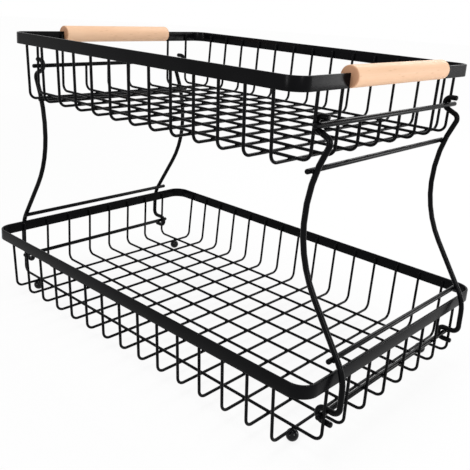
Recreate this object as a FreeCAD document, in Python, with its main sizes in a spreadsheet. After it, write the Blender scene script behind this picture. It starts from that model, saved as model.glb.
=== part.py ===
# Tiered wire basket: two wire baskets, one above the other, hung on two hooked wire frames.
# X runs along the length, Y across, Z up. The origin is on the ground under the middle.
import FreeCAD, Part
import math
import os
import re

import Sketcher
from FreeCAD import Placement, Rotation, Vector

# Driving dimensions, in millimetres and degrees
SIZES = {
    # Stock that the pieces are bent from, and the gap left at each weld
    "grid_wire": 2.5,
    "rod_wire": 4.0,
    "leg_wire": 4.5,
    "bar_wire": 4.0,
    "rim_height": 10.5,
    "rim_thickness": 2.0,
    "weld_gap": 0.05,
    # Floor bends of the grid wires, and how far their ends stay under the rim's top edge
    "grid_bend": 7.0,
    "wire_below_rim": 3.0,
    # Ball feet: the seat is the height of the wire's axis over the ball's centre
    "ball_diameter": 10.0,
    "ball_flat": 0.25,
    "ball_seat": 5.2,
    # Lower basket: outer rim, wall from the floor wires to the rim, how far the walls come in, and the
    # margin from the rim's end to the first cross wire
    "lower_length": 408.5,
    "lower_width": 260.5,
    "lower_corner": 15.0,
    "lower_wall": 48.7,
    "lower_side_inset": 3.2,
    "lower_end_inset": 0.4,
    "lower_cross_margin": 29.25,
    "lower_rod_rise": 22.4,
    # Upper basket, and its height over the lower one
    "tier_rise": 202.1,
    "upper_length": 344.7,
    "upper_width": 249.5,
    "upper_corner": 14.0,
    "upper_wall": 50.8,
    "upper_side_inset": 2.7,
    "upper_end_inset": 1.4,
    "upper_cross_margin": 22.35,
    "upper_rod_rise": 27.8,
    # Margin from the narrower rim's side to the first long wire, in line in both baskets
    "long_margin": 26.05,
    # Hook rods pass the outermost wires, and the short end wires pass the rod's axis
    "rod_overhang": 4.0,
    "short_wire_overlap": 1.0,
    # Wooden handles, slotted over the upper rim between the wires that reach it
    "handle_diameter": 16.0,
    "handle_wire_gap": 1.75,
    "handle_chamfer": 1.2,
    "slot_gap": 0.1,
    # Hooks of the side frames
    "hook_bore": 6.0,
    "hook_clearance": 0.3,
    "hook_tip": 5.5,
    "hook_stub": 8.0,
    # Legs, from the shoulder under the upper hook to the ankle over the lower one
    "leg_inset": 4.3,
    "neck_slope": 25.0,
    "shoulder_reach": 7.7,
    "shoulder_bend": 5.0,
    "waist_inset": 7.3,
    "waist_bend": 120.0,
    "knee_drop": 12.0,
    "leg_rim_gap": 4.0,
    "ankle_bend": 6.0,
    "bar_rim_gap": 5.9,
    "bar_overhang": 3.25,
}

# Wires in each basket: across its width, and along its length
LOWER_CROSS_COUNT = 15
UPPER_CROSS_COUNT = 13
CROSS_COUNTS = {"lower": LOWER_CROSS_COUNT, "upper": UPPER_CROSS_COUNT}
LONG_COUNT = 8
# Long wires on each side of the upper basket that reach the rim, beside the finger openings
FULL_LONG_WIRES = 2
# The bent wires are drawn with flats, and each bend as equal kinks of at most these turns
WIRE_SIDES = 8
TIGHT_KINK_ANGLE = 30
WIDE_KINK_ANGLE = 12
# Shares of the widest calf and knee bends that the leg's offset and height leave room for
CALF_SHARE = 0.62
KNEE_SHARE = 0.23
# Place of the upper bar, as a share of the turn of the leg's waist
UPPER_BAR_SHARE = 0.64

# Numbers that sketch constraints use for the sketch's origin and for the points of an edge
ORIGIN_INDEX = -1
START_INDEX, END_INDEX, CENTRE_INDEX = range(1, 4)
# Turns that stand a flat sketch up, across the basket or along it
STAND_ACROSS = Rotation(Vector(0, 1, 0), Vector(0, 0, 1), Vector(1, 0, 0))
STAND_ALONG = Rotation(Vector(1, 0, 0), Vector(0, 0, 1), Vector(0, -1, 0))
HALF_TURN = Rotation(Vector(0, 0, 1), 180)

doc = FreeCAD.newDocument("TieredWireBasket")
sheet = doc.addObject("Spreadsheet::Sheet", "Sizes")
for row, (size_name, size_value) in enumerate(SIZES.items(), start=1):
    sheet.set(f"A{row}", size_name)
    sheet.set(f"B{row}", str(size_value))
    sheet.setAlias(f"B{row}", size_name)
doc.recompute()
# Values worked out from the driving dimensions, each bound to its expression
worked = doc.addObject("App::VarSet", "Worked")
worked_names = set()


def bound(expression):
    """The expression, with each named value read from the object that holds it."""
    def holder(match):
        word = match[0]
        if word in SIZES:
            return f"Sizes.{word}"
        return f"Worked.{word}" if word in worked_names else word
    return re.sub(r"[a-z_]+", holder, expression)


def number(expression):
    """The expression's present value, as a plain number."""
    value = worked.evalExpression(bound(expression))
    return float(getattr(value, "Value", value))


def work_out(name, expression):
    """Keep a value that follows from the driving dimensions under a name of its own."""
    worked.addProperty("App::PropertyFloat", name, "Worked")
    setattr(worked, name, number(expression))
    worked.setExpression(name, bound(expression))
    worked_names.add(name)


def bind(thing, **properties):
    """Tie properties to the named values; place_x, place_y and place_z are the placement's base."""
    for name, expression in properties.items():
        path = re.sub(r"^place_([xyz])$", r".Placement.Base.\1", name)
        thing.setExpression(path, bound(expression))


def hold(sketch, kind, *where, size=None):
    """Add one constraint to a sketch, tied to the named values where it has a size."""
    if size is None:
        sketch.addConstraint(Sketcher.Constraint(kind, *where))
        return
    index = sketch.addConstraint(Sketcher.Constraint(kind, *where, number(size)))
    sketch.setExpression(f"Constraints[{index}]", bound(size))


def hold_point(sketch, edge, end, across, up):
    """Hold a point of a sketch at a distance across and a distance up."""
    hold(sketch, "DistanceX", ORIGIN_INDEX, START_INDEX, edge, end, size=across)
    hold(sketch, "DistanceY", ORIGIN_INDEX, START_INDEX, edge, end, size=up)


# Heights of the baskets over the ground, at the axes of their cross wires
work_out("lower_floor", "ball_diameter / 2 - ball_flat + ball_seat")
work_out("upper_floor", "lower_floor + tier_rise")
# The long wires lie on the cross wires, and the two rows share out the floor
work_out("long_rise", "grid_wire + weld_gap")
work_out("long_pitch", f"(min(lower_width; upper_width) - 2 * long_margin) / {LONG_COUNT - 1}")
for tier, cross_count in CROSS_COUNTS.items():
    work_out(f"{tier}_cross_pitch", f"({tier}_length - 2 * {tier}_cross_margin) / {cross_count - 1}")


def work_out_wall(basket, wall, span, floor_rise):
    """Work out one pair of walls: the wire's place at the rim and the floor, its lean and its bend."""
    name = f"{basket}_{wall}"
    work_out(f"{name}_at_rim", f"{basket}_{span} / 2 - rim_thickness - weld_gap - grid_wire / 2")
    work_out(f"{name}_at_floor", f"{name}_at_rim - {name}_inset")
    work_out(f"{name}_rise", f"{basket}_wall - {floor_rise}")
    work_out(f"{name}_lean", f"atan({name}_inset / {name}_rise)")
    work_out(f"{name}_bend_x", f"{name}_at_floor - grid_bend * tan((90 - {name}_lean) / 2)")


for tier in ("lower", "upper"):
    work_out_wall(tier, "side", "width", "0")
    work_out_wall(tier, "end", "length", "long_rise")


def wall_place(wall, height):
    """The wire's distance from the middle, at a height on the leaning stretch of an end wall."""
    return f"({wall}_at_floor + {wall}_inset * ({height} - long_rise) / {wall}_rise)"


def bend_points(across, up, bend, start, end, kink):
    """Points of a bend as equal kinks, whose straight stretches all touch one arc."""
    turn = f"({end} - ({start}))"
    kinks = math.ceil(abs(number(turn)) / kink)
    reach = f"{bend} / cos({turn} / {2 * kinks})"
    points = []
    for step in range(kinks):
        angle = f"({start} + {turn} * {(step + 0.5) / kinks})"
        points.append((f"{across} + {reach} * cos({angle})", f"{up} + {reach} * sin({angle})"))
    return points


def floor_bend(wall, floor_rise):
    """Points of a wire's bend from a wall to the floor."""
    return bend_points(f"{wall}_bend_x", f"{floor_rise} + grid_bend", "grid_bend", f"-{wall}_lean", "-90",
                       TIGHT_KINK_ANGLE)


def full_side(basket, wall, floor_rise):
    """One side of a wire that reaches the rim and stands flat against it."""
    name = f"{basket}_{wall}"
    top = f"{basket}_wall + rim_height - wire_below_rim"
    return [(f"{name}_at_rim", top), (f"{name}_at_rim", f"{basket}_wall")] + floor_bend(name, floor_rise)


def sketched_run(sketch, points, closed=False):
    """Straight stretches from point to point, each point held by its two expressions."""
    places = [Vector(number(across), number(up), 0) for across, up in points]
    stretches = len(points) if closed else len(points) - 1
    for line in range(stretches):
        sketch.addGeometry(Part.LineSegment(places[line], places[(line + 1) % len(places)]), False)
    for line in range(stretches if closed else stretches - 1):
        hold(sketch, "Coincident", line, END_INDEX, (line + 1) % stretches, START_INDEX)
    for line in range(stretches):
        hold_point(sketch, line, START_INDEX, *points[line])
    if not closed:
        hold_point(sketch, stretches - 1, END_INDEX, *points[-1])
    return sketch


def path_sketch(name, turn, points):
    """The path of a wire's axis, sketched on an upright plane."""
    sketch = doc.addObject("Sketcher::SketchObject", name)
    sketch.Placement = Placement(Vector(), turn)
    return sketched_run(sketch, points)


def wire_path(name, turn, side):
    """Path of a grid wire: down one side, across the floor and up the other side alike."""
    return path_sketch(name, turn, side + [(f"-({across})", up) for across, up in reversed(side)])


def wire_section(name, turn, wire, across, up):
    """A wire's section, square to a level run of its path, with flats above, below and beside."""
    section = doc.addObject("Part::RegularPolygon", name)
    section.Polygon = WIRE_SIDES
    square_to_path = turn * Rotation(Vector(0, 1, 0), 90) * Rotation(Vector(0, 0, 1), 180 / WIRE_SIDES)
    section.Placement = Placement(Vector(), square_to_path)
    bind(section, Circumradius=f"{wire} / 2 / cos(180 / {WIRE_SIDES})", place_x=across, place_z=up)
    return section


def swept_wire(label, path, section):
    """One bent wire, swept along its path."""
    wire = doc.addObject("Part::Sweep", label)
    wire.Sections = [section]
    wire.Spine = (path, [f"Edge{edge + 1}" for edge in range(path.GeometryCount)])
    wire.Solid = True
    wire.Transition = "Right corner"
    return wire


def wire_row(basket, direction, axis, pitch, paths):
    """A row of wires, one for each path and one pitch apart, about the middle of a basket's floor."""
    turn = STAND_ACROSS if direction == "cross" else STAND_ALONG
    section = wire_section(f"{basket.title()}{direction.title()}Section", turn, "grid_wire", "0",
                           "0" if direction == "cross" else "long_rise")
    wires = []
    for index, path in enumerate(paths):
        wire = swept_wire(f"{basket}_{direction}_wire_{index + 1:02d}", path, section)
        steps = index - (len(paths) - 1) / 2
        bind(wire, **{f"place_{axis}": f"{steps} * {pitch}"})
        bind(wire, place_z=f"{basket}_floor")
        wires.append(wire)
    return wires


def basket_wires(basket):
    """Grid of one basket; the upper one's middle long wires stop at the hook rods."""
    cross_path = wire_path(f"{basket.title()}CrossPath", STAND_ACROSS, full_side(basket, "side", "0"))
    long_path = wire_path(f"{basket.title()}LongPath", STAND_ALONG, full_side(basket, "end", "long_rise"))
    long_paths = [long_path] * LONG_COUNT
    if basket == "upper":
        top = "(upper_rod_rise + short_wire_overlap)"
        short_side = [(wall_place("upper_end", top), top)] + floor_bend("upper_end", "long_rise")
        short_path = wire_path("UpperShortPath", STAND_ALONG, short_side)
        for index in range(FULL_LONG_WIRES, LONG_COUNT - FULL_LONG_WIRES):
            long_paths[index] = short_path
    cross_paths = [cross_path] * CROSS_COUNTS[basket]
    cross_wires = wire_row(basket, "cross", "x", f"{basket}_cross_pitch", cross_paths)
    return cross_wires + wire_row(basket, "long", "y", "long_pitch", long_paths)


def body_sketch(body, name, role):
    """A sketch on one of the body's own origin planes."""
    sketch = body.newObject("Sketcher::SketchObject", name)
    plane = next(feature for feature in body.Origin.OriginFeatures if feature.Role == role)
    sketch.AttachmentSupport = [(plane, "")]
    sketch.MapMode = "FlatFace"
    return sketch


def rounded_rectangle(sketch, length, width, radius):
    """A rectangle about the origin with four round corners."""
    half_length = number(length) / 2
    half_width = number(width) / 2
    bend = number(radius)
    arc = sketch.GeometryCount
    line = arc + 4
    for quarter, (x, y) in enumerate(((1, 1), (-1, 1), (-1, -1), (1, -1))):
        middle = Vector(x * (half_length - bend), y * (half_width - bend), 0)
        corner = Part.Circle(middle, Vector(0, 0, 1), bend)
        start = quarter * math.pi / 2
        sketch.addGeometry(Part.ArcOfCircle(corner, start, start + math.pi / 2), False)
    for quarter in range(4):
        here = sketch.getPoint(arc + quarter, END_INDEX)
        there = sketch.getPoint(arc + (quarter + 1) % 4, START_INDEX)
        sketch.addGeometry(Part.LineSegment(here, there), False)
    for quarter in range(4):
        hold(sketch, "Tangent", arc + quarter, END_INDEX, line + quarter, START_INDEX)
        hold(sketch, "Tangent", line + quarter, END_INDEX, arc + (quarter + 1) % 4, START_INDEX)
    hold(sketch, "Horizontal", line)
    hold(sketch, "Vertical", line + 1)
    for quarter in range(3):
        hold(sketch, "Equal", arc + quarter, arc + quarter + 1)
    hold(sketch, "Radius", arc, size=radius)
    hold(sketch, "Symmetric", arc, CENTRE_INDEX, arc + 2, CENTRE_INDEX, ORIGIN_INDEX, START_INDEX)
    hold(sketch, "DistanceX", line + 1, START_INDEX, line + 3, START_INDEX, size=length)
    hold(sketch, "DistanceY", line + 2, START_INDEX, line, START_INDEX, size=width)


def rim(basket):
    """Flat band, bent into a closed rim round the top of one basket."""
    body = doc.addObject("PartDesign::Body", f"{basket}_rim")
    outline = body_sketch(body, f"{basket.title()}RimOutline", "XY_Plane")
    rounded_rectangle(outline, f"{basket}_length", f"{basket}_width", f"{basket}_corner")
    rounded_rectangle(outline, f"{basket}_length - 2 * rim_thickness",
                      f"{basket}_width - 2 * rim_thickness", f"{basket}_corner - rim_thickness")
    band = body.newObject("PartDesign::Pad", f"{basket.title()}RimBand")
    band.Profile = outline
    bind(band, Length="rim_height")
    bind(body, place_z=f"{basket}_floor + {basket}_wall")
    return body


def cross_bar(label, wire, half_length, across, up):
    """A straight round wire across the basket, centred on its length."""
    bar = doc.addObject("Part::Cylinder", label)
    bar.Placement = Placement(Vector(), Rotation(Vector(1, 0, 0), -90))
    bind(bar, Radius=f"{wire} / 2", Height=f"2 * ({half_length})",
         place_x=across, place_y=f"-({half_length})", place_z=up)
    return bar


# Hook rods: the upper ones lie outside the end wires, the lower ones inside
for tier, side in (("upper", "+"), ("lower", "-")):
    reach = f"(grid_wire / 2 + weld_gap + rod_wire / 2) / cos({tier}_end_lean)"
    work_out(f"{tier}_rod_x", f"{wall_place(f'{tier}_end', f'{tier}_rod_rise')} {side} {reach}")
    work_out(f"{tier}_rod_z", f"{tier}_floor + {tier}_rod_rise")


def hook_rods():
    """Rods across the end walls, which the side frames hook on to."""
    rods = []
    half_length = f"{(LONG_COUNT - 1) / 2} * long_pitch + rod_overhang"
    for basket in ("lower", "upper"):
        for end, side in (("right", 1), ("left", -1)):
            rods.append(cross_bar(f"{basket}_{end}_rod", "rod_wire", half_length,
                                  f"{side} * {basket}_rod_x", f"{basket}_rod_z"))
    return rods


# Each handle fills the space between the long wires that reach the rim beside it
handle_pitches = LONG_COUNT + 1 - 2 * FULL_LONG_WIRES
work_out("handle_length", f"{handle_pitches} * long_pitch - grid_wire - 2 * handle_wire_gap")


def handle(end, side):
    """Round wooden grip, slotted from below to sit over one end of the upper rim."""
    body = doc.addObject("PartDesign::Body", f"{end}_handle")
    round_end = body_sketch(body, f"{end.title()}HandleRound", "XZ_Plane")
    round_end.addGeometry(Part.Circle(Vector(), Vector(0, 0, 1), number("handle_diameter / 2")), False)
    hold(round_end, "Coincident", 0, CENTRE_INDEX, ORIGIN_INDEX, START_INDEX)
    hold(round_end, "Diameter", 0, size="handle_diameter")
    grip = body.newObject("PartDesign::Pad", f"{end.title()}HandleGrip")
    grip.Profile = round_end
    grip.SideType = "Symmetric"
    bind(grip, Length="handle_length")
    doc.recompute()
    eased = body.newObject("PartDesign::Chamfer", f"{end.title()}HandleEnds")
    edges = enumerate(grip.Shape.Edges, start=1)
    eased.Base = (grip, [f"Edge{place}" for place, edge in edges if isinstance(edge.Curve, Part.Circle)])
    bind(eased, Size="handle_chamfer")
    doc.recompute()
    half_slot = "(rim_thickness / 2 + slot_gap)"
    slot_top = "rim_height + weld_gap - handle_diameter / 2"
    slot_foot = "-handle_diameter / 2 - slot_gap"
    outline = [(half_slot, slot_foot), (half_slot, slot_top), (f"-{half_slot}", slot_top),
               (f"-{half_slot}", slot_foot)]
    slot_sketch = body_sketch(body, f"{end.title()}HandleSlot", "XZ_Plane")
    sketched_run(slot_sketch, outline, closed=True)
    slot = body.newObject("PartDesign::Pocket", f"{end.title()}HandleCut")
    slot.Profile = slot_sketch
    slot.Type = "ThroughAll"
    slot.SideType = "Symmetric"
    bind(body, place_x=f"{side} * (upper_length - rim_thickness) / 2",
         place_z="upper_floor + upper_wall + handle_diameter / 2")
    return body


def ball_feet():
    """Four ball feet, each grooved for a cross wire and cut flat where it stands."""
    feet = []
    for side_x in (1, -1):
        for side_y in (1, -1):
            tag = len(feet) + 1
            across = f"{side_x * (CROSS_COUNTS['lower'] - 1) / 2} * lower_cross_pitch"
            along = f"{side_y * (LONG_COUNT - 1) / 2} * long_pitch"
            ball = doc.addObject("Part::Sphere", f"FootBall{tag}")
            bind(ball, Radius="ball_diameter / 2", Angle1="-asin(1 - 2 * ball_flat / ball_diameter)",
                 place_x=across, place_y=along, place_z="ball_diameter / 2 - ball_flat")
            groove = doc.addObject("Part::Box", f"FootGroove{tag}")
            bind(groove, Length="grid_wire + 2 * weld_gap", Width="ball_diameter", Height="ball_diameter",
                 place_x=f"{across} - grid_wire / 2 - weld_gap", place_y=f"{along} - ball_diameter / 2",
                 place_z="lower_floor - grid_wire / 2 - weld_gap")
            foot = doc.addObject("Part::Cut", f"Foot{tag}")
            foot.Base = ball
            foot.Tool = groove
            feet.append(foot)
    group = doc.addObject("Part::Compound", "ball_feet")
    group.Links = feet
    return group


# Hooks of the legs: the upper rod sits low in its hook, and the lower rod sits high in its own
work_out("hook_turn", "(hook_bore + leg_wire) / 2")
work_out("hook_play", "(hook_bore - rod_wire) / 2 - hook_clearance")
work_out("upper_hook_z", "upper_rod_z + hook_play")
work_out("lower_hook_z", "lower_rod_z - hook_play")
# Neck, from the upper hook out and down to the shoulder
work_out("neck_x", "upper_rod_x - hook_turn * sin(neck_slope)")
work_out("neck_z", "upper_hook_z - hook_turn * cos(neck_slope)")
work_out("shoulder_x", "upper_rod_x + shoulder_reach - shoulder_bend")
work_out("neck_foot_x", "shoulder_x + shoulder_bend * sin(neck_slope)")
work_out("neck_foot_z", "neck_z - (neck_foot_x - neck_x) * tan(neck_slope)")
work_out("shoulder_z", "neck_foot_z - shoulder_bend * cos(neck_slope)")
# Waist, where the leg comes nearest to the middle
work_out("waist_least", "upper_rod_x - waist_inset")
work_out("waist_x", "waist_least + waist_bend")
work_out("waist_turn", "acos((waist_x - shoulder_x) / (waist_bend + shoulder_bend))")
work_out("waist_z", "shoulder_z - (waist_bend + shoulder_bend) * sin(waist_turn)")
# Shin, outside the lower rim, and the calf and knee bends that lead down to it
work_out("shin_x", "lower_length / 2 + leg_rim_gap + leg_wire / 2")
work_out("knee_z", "lower_floor + lower_wall + rim_height - knee_drop")
work_out("leg_offset", "shin_x - waist_least")
work_out("leg_drop", "waist_z - knee_z")
work_out("widest_bends", "(leg_offset * leg_offset + leg_drop * leg_drop) / (2 * leg_offset)")
work_out("calf_bend", f"{CALF_SHARE} * widest_bends")
work_out("knee_bend", f"{KNEE_SHARE} * widest_bends")
work_out("calf_x", "waist_least + calf_bend")
work_out("knee_x", "shin_x - knee_bend")
work_out("bends_apart", "sqrt((calf_x - knee_x) * (calf_x - knee_x) + leg_drop * leg_drop)")
work_out("calf_slope", "atan2(leg_drop; calf_x - knee_x) - acos((calf_bend + knee_bend) / bends_apart)")
# Ankle, over the lower hook
work_out("ankle_x", "shin_x - ankle_bend")
work_out("ankle_z", "lower_hook_z + hook_turn + ankle_bend")
# Plane of each leg, inside the outermost long wires
work_out("leg_y", f"{(LONG_COUNT - 1) / 2} * long_pitch - leg_inset")


# Bars: the upper one in the bend of the waist, the lower one over the rim, in the bend of the knee or,
# where that is too low, above it on the straight of the calf
work_out("bar_seat", "leg_wire / 2 + weld_gap + bar_wire / 2")
work_out("upper_bar_turn", f"{UPPER_BAR_SHARE} * waist_turn")
work_out("lower_bar_rise", "knee_drop + bar_rim_gap + bar_wire / 2")
work_out("lower_bar_reach", "knee_bend - bar_seat")
work_out("lower_bar_bend", "asin(min(1; lower_bar_rise / lower_bar_reach))")
work_out("lower_bar_turn", "min(lower_bar_bend; calf_slope)")
work_out("lower_bar_over", "max(0; lower_bar_rise - lower_bar_reach * sin(calf_slope))")


def leg_path():
    """Path of a leg's axis, from the tip of its upper hook to the end of its lower one."""
    tip = ("upper_rod_x + hook_tip", "upper_hook_z + hook_turn")
    stub = ("lower_rod_x + hook_stub", "lower_hook_z - hook_turn")
    bends = (
        ("upper_rod_x", "upper_hook_z", "hook_turn", "90", "270 - neck_slope", TIGHT_KINK_ANGLE),
        ("shoulder_x", "shoulder_z", "shoulder_bend", "90 - neck_slope", "-waist_turn", TIGHT_KINK_ANGLE),
        ("waist_x", "waist_z", "waist_bend", "180 - waist_turn", "180", WIDE_KINK_ANGLE),
        ("calf_x", "waist_z", "calf_bend", "180", "180 + calf_slope", WIDE_KINK_ANGLE),
        ("knee_x", "knee_z", "knee_bend", "calf_slope", "0", WIDE_KINK_ANGLE),
        ("ankle_x", "ankle_z", "ankle_bend", "0", "-90", TIGHT_KINK_ANGLE),
        ("lower_rod_x", "lower_hook_z", "hook_turn", "90", "270", TIGHT_KINK_ANGLE),
    )
    points = [point for bend in bends for point in bend_points(*bend)]
    return path_sketch("LegPath", STAND_ALONG, [tip] + points + [stub])


def side_frames():
    """Two side frames: each a pair of hooked legs and two bars across their inner sides."""
    path = leg_path()
    section = wire_section("LegSection", STAND_ALONG, "leg_wire", "upper_rod_x + hook_tip",
                           "upper_hook_z + hook_turn")
    bars = {
        "Upper": ("waist_x - (waist_bend + bar_seat) * cos(upper_bar_turn)",
                  "waist_z + (waist_bend + bar_seat) * sin(upper_bar_turn)"),
        "Lower": ("knee_x + lower_bar_reach * cos(lower_bar_turn) - lower_bar_over * tan(calf_slope)",
                  "knee_z + lower_bar_rise"),
    }
    half_length = "leg_y + leg_wire / 2 + bar_overhang"
    pieces = []
    for end, side in (("right", 1), ("left", -1)):
        for place, depth in (("front", -1), ("back", 1)):
            leg = swept_wire(f"{end}_{place}_leg", path, section)
            leg.Placement = Placement(Vector(), Rotation() if side > 0 else HALF_TURN)
            bind(leg, place_y=f"{depth} * leg_y")
            pieces.append(leg)
        pair = doc.addObject("Part::Compound", f"{end}_frame_bars")
        pair.Links = [
            cross_bar(f"{end.title()}{level}Bar", "bar_wire", half_length, f"{side} * ({across})", up)
            for level, (across, up) in bars.items()
        ]
        pieces.append(pair)
    return pieces


nodes = basket_wires("lower") + basket_wires("upper")
nodes += [rim("lower"), rim("upper")]
nodes += hook_rods()
nodes += [handle("right", 1), handle("left", -1)]
nodes.append(ball_feet())
nodes += side_frames()
doc.recompute()

failed = [thing.Label for thing in doc.Objects if "Invalid" in thing.State or "Error" in thing.State]
failed += [node.Label for node in nodes if node.Shape.isNull() or not node.Shape.isValid()]
if failed:
    raise RuntimeError(f"These pieces failed: {failed}")

os.makedirs("parts", exist_ok=True)
for node in nodes:
    node.Shape.exportStep(f"parts/{node.Label}.step")
print(f"{len(nodes)} pieces written")
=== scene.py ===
"""Tiered wire basket: the round wires, bands, grips and finishes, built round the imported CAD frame.

Sizes are in millimetres and turns in degrees, and lengths become metres where a mesh is made. X runs along
the baskets, Y across them and Z up. The origin is on the ground under the middle.
"""

from __future__ import annotations

import logging
from dataclasses import dataclass, field
from enum import Enum
from math import acos, asin, atan, atan2, ceil, cos, degrees, hypot, radians, sin, tan
from typing import Any, Iterable, Sequence

import bmesh
import bpy
from bpy.types import Material, Mesh, NodeSocket, NodeTree, Object
from mathutils import Matrix, Vector

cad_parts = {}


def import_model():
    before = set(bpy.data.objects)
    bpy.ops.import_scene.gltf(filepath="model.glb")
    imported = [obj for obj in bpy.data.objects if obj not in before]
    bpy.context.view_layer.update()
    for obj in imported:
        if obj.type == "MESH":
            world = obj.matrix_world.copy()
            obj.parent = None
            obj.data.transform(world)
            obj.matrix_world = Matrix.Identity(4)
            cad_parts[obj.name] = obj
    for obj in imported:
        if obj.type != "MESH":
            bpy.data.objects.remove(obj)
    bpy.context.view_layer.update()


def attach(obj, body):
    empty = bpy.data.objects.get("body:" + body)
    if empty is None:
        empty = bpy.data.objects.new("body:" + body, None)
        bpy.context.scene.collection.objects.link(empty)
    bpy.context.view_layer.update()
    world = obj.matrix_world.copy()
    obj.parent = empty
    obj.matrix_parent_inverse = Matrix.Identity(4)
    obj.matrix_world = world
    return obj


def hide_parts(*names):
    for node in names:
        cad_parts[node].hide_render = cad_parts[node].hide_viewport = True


log = logging.getLogger("tiered_wire_basket")

# One millimetre in metres
MM = 0.001
# Turn between neighbouring points of a bend
BEND_STEP_ANGLE = 7.5
# Range that most values of a noise texture lie in
NOISE_SPAN = (0.3, 0.7)

Point = tuple[float, float]
Place = tuple[float, float, float]
Colour = tuple[float, float, float, float]
# Inputs or outputs of a node, by name or number
Sockets = bpy.types.bpy_prop_collection


class Plane(Enum):
    """Upright plane that a wire is bent in, by the kind of wire in node names."""

    ACROSS = "cross"
    ALONG = "long"


class End(Enum):
    """Ends of the baskets, as the sign of X."""

    RIGHT = 1
    LEFT = -1

    @property
    def word(self) -> str:
        """The end's name in node names."""
        return self.name.lower()


class Slot(Enum):
    """Names of the material slots."""

    BLACK_COAT = "black_coat"
    FOOT_ENAMEL = "foot_enamel"
    HANDLE_WOOD = "handle_wood"


@dataclass(frozen=True)
class NodeBench:
    """Adds nodes to one shader or geometry tree, sets their sockets and links them."""

    tree: NodeTree

    def feed(self, socket: NodeSocket, value: Any) -> None:
        """Link an input to an output socket, or set its value.

        Args:
            socket: The input.
            value: Output socket or value.
        """
        if isinstance(value, NodeSocket):
            self.tree.links.new(value, socket)
        else:
            socket.default_value = value

    def add(self, kind: str, sockets: dict[str, Any] | None = None, **settings: Any) -> Sockets:
        """Add one node.

        Args:
            kind: The node's type.
            sockets: Values or output sockets for its inputs, by identifier.
            settings: The node's own properties.

        Returns:
            The new node's outputs.
        """
        node = self.tree.nodes.new(kind)
        for name, value in settings.items():
            setattr(node, name, value)
        for key, value in (sockets or {}).items():
            self.feed(next(one for one in node.inputs if one.identifier == key), value)
        return node.outputs

    def math(self, operation: str, first: Any, second: Any = 0.0) -> NodeSocket:
        """Put one or two values or sockets through a Math node, and return the result's socket."""
        return self.add("ShaderNodeMath", {"Value": first, "Value_001": second}, operation=operation)[0]

    def mix(self, share: Any, first: Any, second: Any) -> NodeSocket:
        """Mix a share of a second colour into a first one, and return the result's socket."""
        colours = {"Factor_Float": share, "A_Color": first, "B_Color": second}
        return self.add("ShaderNodeMix", colours, data_type="RGBA")[2]

    def remap(self, value: Any, source: Sequence[Any], target: Sequence[Any] = (0.0, 1.0)) -> NodeSocket:
        """Move a value from one range to another, held within it, and return the result's socket."""
        limits = zip(("From Min", "From Max", "To Min", "To Max"), (*source, *target))
        return self.add("ShaderNodeMapRange", {"Value": value, **dict(limits)})["Result"]

    def scaled(self, vector: NodeSocket, scale: NodeSocket) -> NodeSocket:
        """Scale a vector, and return the result's socket."""
        return self.add("ShaderNodeVectorMath", {"Vector": vector, "Scale": scale}, operation="SCALE")[0]

    def group(self, tree: NodeTree, **inputs: Any) -> Sockets:
        """Place a node group.

        Args:
            tree: The group's tree.
            inputs: Values or sockets, by input name with _ for each space.

        Returns:
            The group's outputs.
        """
        node = self.tree.nodes.new("ShaderNodeGroup")
        node.node_tree = tree
        for name, value in inputs.items():
            self.feed(node.inputs[name.replace("_", " ")], value)
        return node.outputs


def new_tree(name: str, kind: str, inputs: dict[str, str],
             outputs: dict[str, str]) -> tuple[NodeBench, Sockets, Sockets]:
    """Make an empty node tree with its interface.

    Args:
        name: The tree's name.
        kind: Shader or Geometry.
        inputs: Kind of socket, such as Float, by input name.
        outputs: Kind of socket by output name.

    Returns:
        The bench for the tree, what its inputs give and what its outputs take.
    """
    tree = bpy.data.node_groups.new(name, f"{kind}NodeTree")
    for side, sockets in (("INPUT", inputs), ("OUTPUT", outputs)):
        for socket_name, socket_kind in sockets.items():
            tree.interface.new_socket(socket_name, in_out=side, socket_type=f"NodeSocket{socket_kind}")
    given = tree.nodes.new("NodeGroupInput").outputs
    return NodeBench(tree), given, tree.nodes.new("NodeGroupOutput").inputs


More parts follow.
